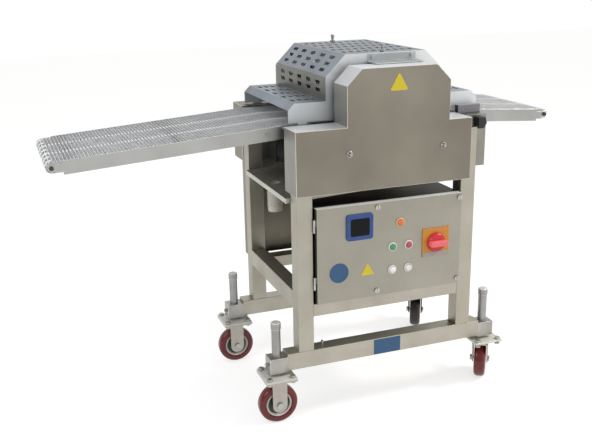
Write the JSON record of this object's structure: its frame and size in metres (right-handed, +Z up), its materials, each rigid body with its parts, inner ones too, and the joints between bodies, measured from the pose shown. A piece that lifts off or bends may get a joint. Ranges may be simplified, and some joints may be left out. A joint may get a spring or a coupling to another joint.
{
  "type": "conveyor meat tenderizer",
  "caption": "Conveyor meat tenderizer and flattener: a mesh belt carries meat under two press rollers and a slotted guard, on a castored stainless frame with a control cabinet.",
  "frame": {"origin": "on the floor under the middle of the whole machine's box, with the belt", "axes": "+X along the belt from infeed to outfeed, +Y from the operator's side to the back, +Z up"},
  "size_m": [1.627, 0.668, 1.134],
  "materials": {
    "satin_frame_steel": "bead-blasted square tube and sheet",
    "brushed_cover_steel": "brushed sheet",
    "guard_steel": "brushed sheet, bluish",
    "belt_wire": "drawn wire",
    "turned_steel": "turned",
    "zinc_plated": "zinc-plated pressing",
    "polyurethane_tyre": "cast polyurethane",
    "rim_casting": "cast",
    "painted_motor": "dark enamel",
    "chain_steel": "oiled",
    "hose_plastic": "moulded",
    "screen_plastic": "moulded frame and glass",
    "pale_collar": "moulded",
    "black_plastic": "moulded",
    "orange_lens": "clear moulded",
    "green_cap": "moulded",
    "red_cap": "moulded",
    "white_cap": "moulded",
    "yellow_plate": "moulded",
    "switch_red": "moulded"
  },
  "bodies": {
    "frame": {"frame_legs": "satin_frame_steel", "frame_lower_rails": "satin_frame_steel", "frame_middle_rails": "satin_frame_steel", "clamp_blocks": "satin_frame_steel", "drip_tray": "brushed_cover_steel", "drain_hose": "hose_plastic", "electrical_cabinet": "satin_frame_steel", "cabinet_hinges": "zinc_plated", "bed_side_plates": "brushed_cover_steel", "roller_bearings": "turned_steel", "front_cover": "brushed_cover_steel", "rear_cover": "brushed_cover_steel", "rear_panel": "satin_frame_steel", "mesh_belt": "belt_wire", "conveyor_side_rails": "brushed_cover_steel", "conveyor_cross_bars": "brushed_cover_steel", "gear_motor": "painted_motor", "drive_chain": "chain_steel", "safety_switches": "black_plastic", "frame_fasteners": "zinc_plated"},
    "guard": {"hood_shell": "guard_steel", "hood_knobs": "turned_steel", "hood_bracket": "guard_steel"},
    "cabinet_door": {"door_panel": "satin_frame_steel", "door_hinge_leaves": "zinc_plated", "touch_screen": "screen_plastic", "button_rings": "pale_collar", "pilot_lamp": "orange_lens", "switch_plate": "yellow_plate", "contact_blocks": "black_plastic", "door_locks": "zinc_plated"},
    "start_button": {"start_button": "green_cap"},
    "stop_button": {"stop_button": "red_cap"},
    "left_white_button": {"left_white_button": "white_cap"},
    "right_white_button": {"right_white_button": "white_cap"},
    "main_switch": {"main_switch_knob": "switch_red"},
    "drive_roller": {"drive_roller": "turned_steel"},
    "infeed_nose_roller": {"infeed_nose_roller": "turned_steel"},
    "outfeed_nose_roller": {"outfeed_nose_roller": "turned_steel"},
    "infeed_press_roller": {"infeed_press_roller": "turned_steel"},
    "outfeed_press_roller": {"outfeed_press_roller": "turned_steel"},
    "motor_sprocket": {"motor_sprocket": "chain_steel"},
    "wheel_carriage": {"height_posts": "turned_steel", "plate_bolts": "zinc_plated", "rigid_forks": "zinc_plated", "rigid_axles": "zinc_plated"},
    "front_swivel": {"front_swivel_fork": "zinc_plated", "front_swivel_axle": "zinc_plated"},
    "rear_swivel": {"rear_swivel_fork": "zinc_plated", "rear_swivel_axle": "zinc_plated"},
    "front_pedal": {"front_brake_pedal": "zinc_plated"},
    "rear_pedal": {"rear_brake_pedal": "zinc_plated"},
    "left_front_wheel": {"left_front_tyre": "polyurethane_tyre", "left_front_hub": "rim_casting"},
    "left_rear_wheel": {"left_rear_tyre": "polyurethane_tyre", "left_rear_hub": "rim_casting"},
    "right_front_wheel": {"right_front_tyre": "polyurethane_tyre", "right_front_hub": "rim_casting"},
    "right_rear_wheel": {"right_rear_tyre": "polyurethane_tyre", "right_rear_hub": "rim_casting"}
  },
  "joints": [
    {"name": "guard_lift", "type": "slide", "parent": "frame", "child": "guard", "axis": [0, 0, 1], "range_m": [0, 0.2]},
    {"name": "door_swing", "type": "hinge", "parent": "frame", "child": "cabinet_door", "pos_m": [-0.081, -0.292, 0.384], "axis": [0, 0, -1], "range_deg": [0, 110]},
    {"name": "main_switch_turn", "type": "hinge", "parent": "cabinet_door", "child": "main_switch", "pos_m": [0.3185, -0.302, 0.534], "axis": [0, 1, 0], "range_deg": [0, 90]},
    {"name": "start_button_press", "type": "slide", "parent": "cabinet_door", "child": "start_button", "axis": [0, 1, 0], "range_m": [0, 0.003], "stiffness_N_per_m": 900, "springref_m": -0.002},
    {"name": "stop_button_press", "type": "slide", "parent": "cabinet_door", "child": "stop_button", "axis": [0, 1, 0], "range_m": [0, 0.003], "stiffness_N_per_m": 900, "springref_m": -0.002},
    {"name": "left_white_button_press", "type": "slide", "parent": "cabinet_door", "child": "left_white_button", "axis": [0, 1, 0], "range_m": [0, 0.003], "stiffness_N_per_m": 900, "springref_m": -0.002},
    {"name": "right_white_button_press", "type": "slide", "parent": "cabinet_door", "child": "right_white_button", "axis": [0, 1, 0], "range_m": [0, 0.003], "stiffness_N_per_m": 900, "springref_m": -0.002},
    {"name": "drive_roller_spin", "type": "hinge", "parent": "frame", "child": "drive_roller", "pos_m": [0.1995, -0.029, 0.8], "axis": [0, 1, 0], "continuous": true},
    {"name": "motor_sprocket_spin", "type": "hinge", "parent": "frame", "child": "motor_sprocket", "pos_m": [-0.0005, -0.029, 0.768], "axis": [0, 1, 0], "continuous": true},
    {"name": "infeed_nose_roller_spin", "type": "hinge", "parent": "frame", "child": "infeed_nose_roller", "pos_m": [-0.7965, -0.029, 0.84704], "axis": [0, 1, 0], "continuous": true},
    {"name": "outfeed_nose_roller_spin", "type": "hinge", "parent": "frame", "child": "outfeed_nose_roller", "pos_m": [0.7965, -0.029, 0.87564], "axis": [0, 1, 0], "continuous": true},
    {"name": "infeed_press_roller_spin", "type": "hinge", "parent": "frame", "child": "infeed_press_roller", "pos_m": [0.1045, -0.029, 0.983], "axis": [0, 1, 0], "continuous": true},
    {"name": "outfeed_press_roller_spin", "type": "hinge", "parent": "frame", "child": "outfeed_press_roller", "pos_m": [0.3045, -0.029, 0.983], "axis": [0, 1, 0], "continuous": true},
    {"name": "height_adjust", "type": "slide", "parent": "frame", "child": "wheel_carriage", "axis": [0, 0, -1], "range_m": [0, 0.09]},
    {"name": "left_front_wheel_spin", "type": "hinge", "parent": "wheel_carriage", "child": "left_front_wheel", "pos_m": [-0.1985, -0.261, 0.0625], "axis": [0, 1, 0], "continuous": true},
    {"name": "front_swivel_turn", "type": "hinge", "parent": "wheel_carriage", "child": "front_swivel", "pos_m": [0.5275, -0.261, 0.0625], "axis": [0, 0, 1], "continuous": true},
    {"name": "right_front_wheel_spin", "type": "hinge", "parent": "front_swivel", "child": "right_front_wheel", "pos_m": [0.54758, -0.23233, 0.0625], "axis": [-0.8192, 0.5736, 0], "continuous": true},
    {"name": "front_pedal_press", "type": "hinge", "parent": "front_swivel", "child": "front_pedal", "pos_m": [0.54872, -0.23069, 0.136], "axis": [-0.8192, 0.5736, 0], "range_deg": [0, 15]},
    {"name": "left_rear_wheel_spin", "type": "hinge", "parent": "wheel_carriage", "child": "left_rear_wheel", "pos_m": [-0.1985, 0.203, 0.0625], "axis": [0, 1, 0], "continuous": true},
    {"name": "rear_swivel_turn", "type": "hinge", "parent": "wheel_carriage", "child": "rear_swivel", "pos_m": [0.5275, 0.203, 0.0625], "axis": [0, 0, 1], "continuous": true},
    {"name": "right_rear_wheel_spin", "type": "hinge", "parent": "rear_swivel", "child": "right_rear_wheel", "pos_m": [0.545, 0.23331, 0.0625], "axis": [-0.866, 0.5, 0], "continuous": true},
    {"name": "rear_pedal_press", "type": "hinge", "parent": "rear_swivel", "child": "rear_pedal", "pos_m": [0.546, 0.23504, 0.136], "axis": [-0.866, 0.5, 0], "range_deg": [0, 15]}
  ],
  "couplings": [
    {"joint": "motor_sprocket_spin", "follows": "drive_roller_spin", "ratio": 1},
    {"joint": "infeed_nose_roller_spin", "follows": "drive_roller_spin", "ratio": 2.8571},
    {"joint": "outfeed_nose_roller_spin", "follows": "drive_roller_spin", "ratio": 2.8571},
    {"joint": "infeed_press_roller_spin", "follows": "drive_roller_spin", "ratio": -0.68966},
    {"joint": "outfeed_press_roller_spin", "follows": "drive_roller_spin", "ratio": -0.68966}
  ]
}
